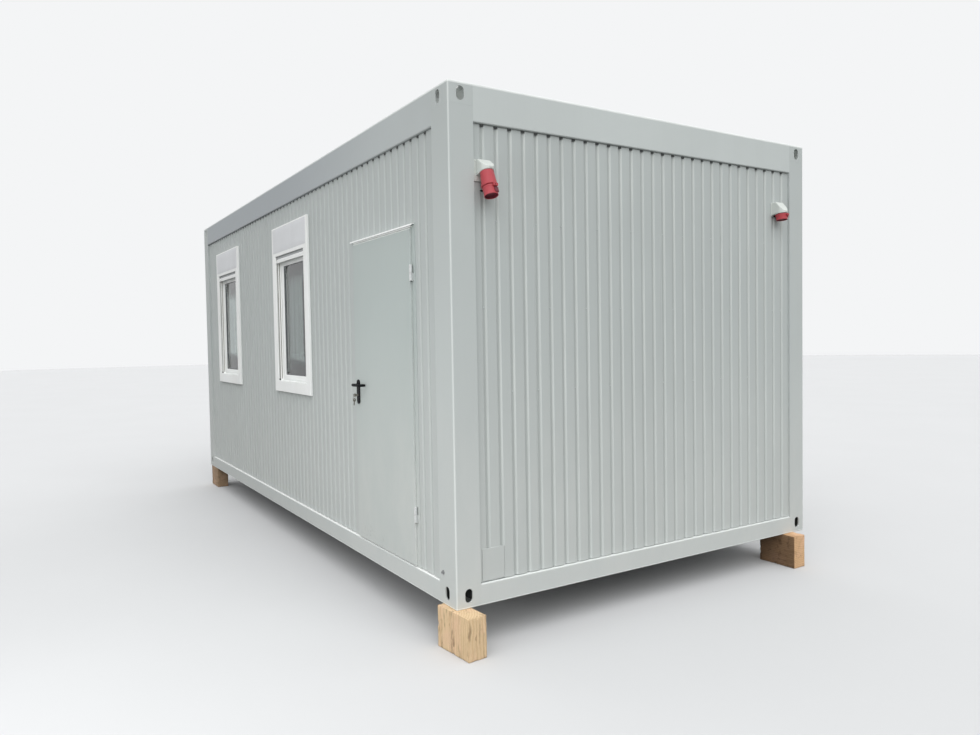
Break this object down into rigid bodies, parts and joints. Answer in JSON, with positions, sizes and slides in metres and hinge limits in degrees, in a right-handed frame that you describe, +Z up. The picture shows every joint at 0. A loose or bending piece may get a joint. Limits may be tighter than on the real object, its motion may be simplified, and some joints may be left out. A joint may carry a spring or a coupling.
{
  "type": "portable site cabin",
  "caption": "Steel-framed portable cabin with grooved walls, a hinged door with lever handle, windows under roller shutter boxes, corner castings and timber blocks under its corners.",
  "frame": {"origin": "on the ground under the middle of the cabin", "axes": "+X along the long sides towards the end wall with the power sockets, +Y from the door and window side to the back, +Z up"},
  "size_m": [6.3422, 3.0863, 3.077],
  "materials": {
    "frame_paint": "light grey semi-gloss paint on folded steel",
    "wall_paint": "light grey coated steel sheet with grooves",
    "door_paint": "light grey coated steel leaf",
    "roof_zinc": "galvanised sheet, dull",
    "strip_metal": "pale folded strip",
    "window_plastic": "white window profile",
    "window_glass": "double pane, blinds drawn",
    "lining_board": "pale laminated board",
    "floor_board": "sealed floor board",
    "timber": "sawn softwood, unpainted",
    "black_plastic": "black moulded handle set",
    "lock_metal": "nickel-plated",
    "hinge_metal": "painted steel",
    "socket_white": "pale grey moulding",
    "socket_red": "red moulding"
  },
  "bodies": {
    "cabin": {"back_wall": "wall_paint", "ceiling": "lining_board", "corner_post_back_left": "frame_paint", "corner_post_back_right": "frame_paint", "corner_post_front_left": "frame_paint", "corner_post_front_right": "frame_paint", "door_drip_strip": "strip_metal", "door_frame": "door_paint", "door_hinge_pins": "hinge_metal", "door_threshold": "strip_metal", "end_wall_blanking_plate": "wall_paint", "end_wall_linings": "lining_board", "floor_corner_castings": "frame_paint", "floor_cross_members": "frame_paint", "floor_deck": "floor_board", "floor_rail_back": "frame_paint", "floor_rail_front": "frame_paint", "floor_rail_left": "frame_paint", "floor_rail_right": "frame_paint", "front_wall_over_door": "wall_paint", "front_wall_over_windows": "wall_paint", "front_wall_piers": "wall_paint", "front_wall_under_windows": "wall_paint", "left_wall": "wall_paint", "long_wall_linings": "lining_board", "power_inlet_body": "socket_red", "power_inlet_hood": "socket_white", "power_outlet_body": "socket_red", "power_outlet_hood": "socket_white", "right_wall": "wall_paint", "roof_corner_castings": "frame_paint", "roof_rail_back": "frame_paint", "roof_rail_front": "frame_paint", "roof_rail_left": "frame_paint", "roof_rail_right": "frame_paint", "roof_sheet": "roof_zinc", "shutter_slats": "window_plastic", "timber_block_back_left": "timber", "timber_block_back_right": "timber", "timber_block_front_left": "timber", "timber_block_front_right": "timber", "underfloor_sheet": "roof_zinc", "window_covers": "window_plastic", "window_frames": "window_plastic", "window_glass": "window_glass", "window_sashes": "window_plastic"},
    "door": {"door_leaf": "door_paint", "door_hinge_barrels": "hinge_metal", "door_handle_plates": "black_plastic", "lock_and_keys": "lock_metal"},
    "door_handle": {"door_levers": "black_plastic"}
  },
  "joints": [
    {"name": "door_hinge", "type": "hinge", "parent": "cabin", "child": "door", "pos_m": [2.557, -1.4965, 1.36], "axis": [0, 0, 1], "range_deg": [0, 170]},
    {"name": "door_handle_turn", "type": "hinge", "parent": "door", "child": "door_handle", "pos_m": [1.724, -1.4945, 1.407], "axis": [0, 1, 0], "range_deg": [0, 40], "stiffness_Nm_per_rad": 2, "springref_deg": -20.05}
  ]
}
